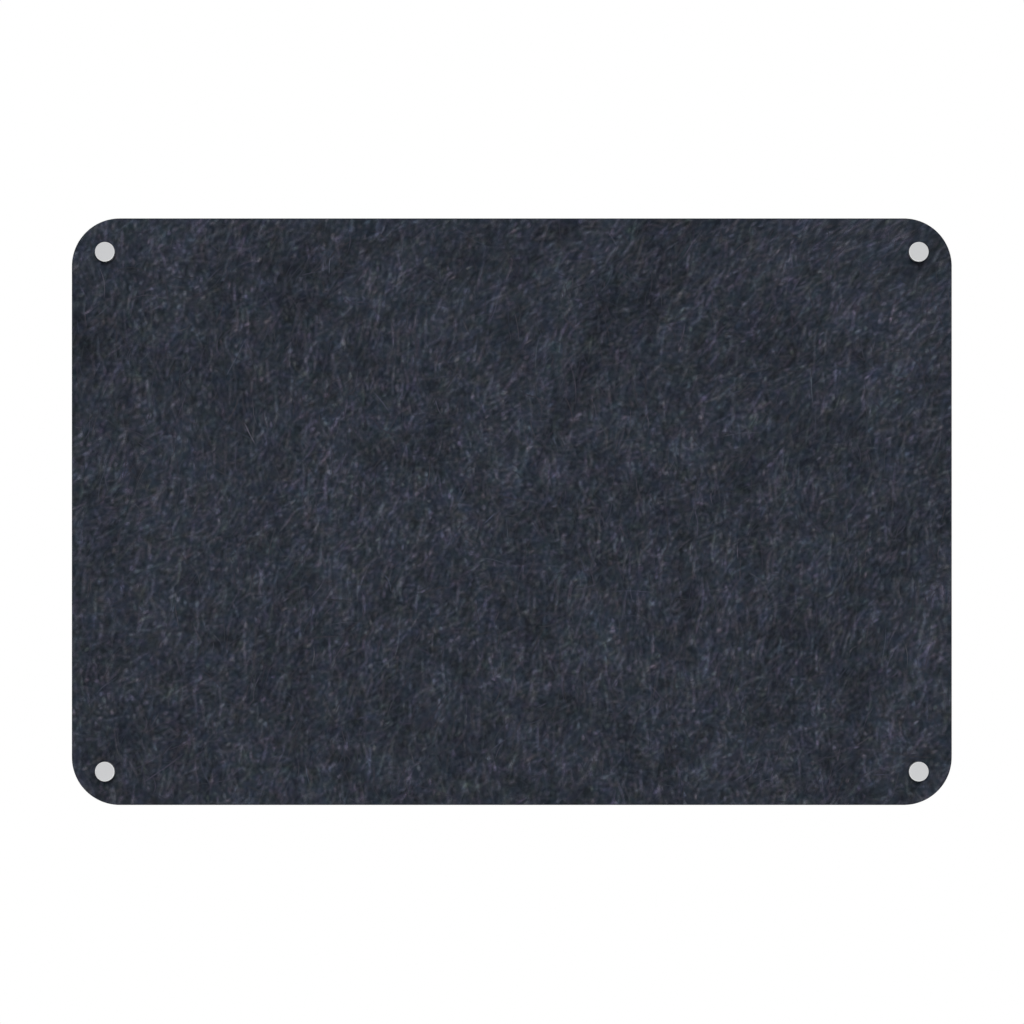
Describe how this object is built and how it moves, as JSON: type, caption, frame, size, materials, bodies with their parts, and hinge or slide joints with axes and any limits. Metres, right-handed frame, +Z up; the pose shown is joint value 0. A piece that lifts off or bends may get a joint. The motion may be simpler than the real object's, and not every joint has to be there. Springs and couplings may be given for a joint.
{
  "type": "felt pinboard",
  "caption": "Wall pinboard: a felt-faced panel with round corners, held clear of the wall by metal stand-offs whose caps unscrew.",
  "frame": {"origin": "the point of the wall's surface behind the middle of the board", "axes": "+X to the right along the board, +Y into the wall, +Z up; the felt face looks along -Y"},
  "size_m": [0.9, 0.0732, 0.6],
  "materials": {
    "felt": "matte",
    "core": "matte",
    "satin_aluminium": "satin",
    "zinc_steel": "satin",
    "clear_nylon": "satin",
    "grey_nylon": "matte"
  },
  "bodies": {
    "board": {"felt_face": "felt", "pin_core": "core", "felt_back": "felt", "top_left_rear_washer": "clear_nylon", "top_left_barrel": "satin_aluminium", "top_left_wall_screw": "zinc_steel", "top_left_wall_plug": "grey_nylon", "top_right_rear_washer": "clear_nylon", "top_right_barrel": "satin_aluminium", "top_right_wall_screw": "zinc_steel", "top_right_wall_plug": "grey_nylon", "bottom_left_rear_washer": "clear_nylon", "bottom_left_barrel": "satin_aluminium", "bottom_left_wall_screw": "zinc_steel", "bottom_left_wall_plug": "grey_nylon", "bottom_right_rear_washer": "clear_nylon", "bottom_right_barrel": "satin_aluminium", "bottom_right_wall_screw": "zinc_steel", "bottom_right_wall_plug": "grey_nylon"},
    "top_left_washer": {"top_left_front_washer": "clear_nylon"},
    "top_left_cap_screw": {"top_left_cap": "satin_aluminium", "top_left_stud": "zinc_steel"},
    "top_right_washer": {"top_right_front_washer": "clear_nylon"},
    "top_right_cap_screw": {"top_right_cap": "satin_aluminium", "top_right_stud": "zinc_steel"},
    "bottom_left_washer": {"bottom_left_front_washer": "clear_nylon"},
    "bottom_left_cap_screw": {"bottom_left_cap": "satin_aluminium", "bottom_left_stud": "zinc_steel"},
    "bottom_right_washer": {"bottom_right_front_washer": "clear_nylon"},
    "bottom_right_cap_screw": {"bottom_right_cap": "satin_aluminium", "bottom_right_stud": "zinc_steel"}
  },
  "joints": [
    {"name": "top_left_travel", "type": "slide", "parent": "board", "child": "top_left_washer", "axis": [0, -1, 0], "range_m": [0, 0.012]},
    {"name": "top_left_unscrew", "type": "hinge", "parent": "top_left_washer", "child": "top_left_cap_screw", "pos_m": [-0.415, 0, 0.265], "axis": [0, -1, 0], "range_deg": [0, 2880]},
    {"name": "top_right_travel", "type": "slide", "parent": "board", "child": "top_right_washer", "axis": [0, -1, 0], "range_m": [0, 0.012]},
    {"name": "top_right_unscrew", "type": "hinge", "parent": "top_right_washer", "child": "top_right_cap_screw", "pos_m": [0.415, 0, 0.265], "axis": [0, -1, 0], "range_deg": [0, 2880]},
    {"name": "bottom_left_travel", "type": "slide", "parent": "board", "child": "bottom_left_washer", "axis": [0, -1, 0], "range_m": [0, 0.012]},
    {"name": "bottom_left_unscrew", "type": "hinge", "parent": "bottom_left_washer", "child": "bottom_left_cap_screw", "pos_m": [-0.415, 0, -0.265], "axis": [0, -1, 0], "range_deg": [0, 2880]},
    {"name": "bottom_right_travel", "type": "slide", "parent": "board", "child": "bottom_right_washer", "axis": [0, -1, 0], "range_m": [0, 0.012]},
    {"name": "bottom_right_unscrew", "type": "hinge", "parent": "bottom_right_washer", "child": "bottom_right_cap_screw", "pos_m": [0.415, 0, -0.265], "axis": [0, -1, 0], "range_deg": [0, 2880]}
  ],
  "couplings": [
    {"joint": "top_left_travel", "follows": "top_left_unscrew", "m_per_rad": 0.00023873},
    {"joint": "top_right_travel", "follows": "top_right_unscrew", "m_per_rad": 0.00023873},
    {"joint": "bottom_left_travel", "follows": "bottom_left_unscrew", "m_per_rad": 0.00023873},
    {"joint": "bottom_right_travel", "follows": "bottom_right_unscrew", "m_per_rad": 0.00023873}
  ]
}
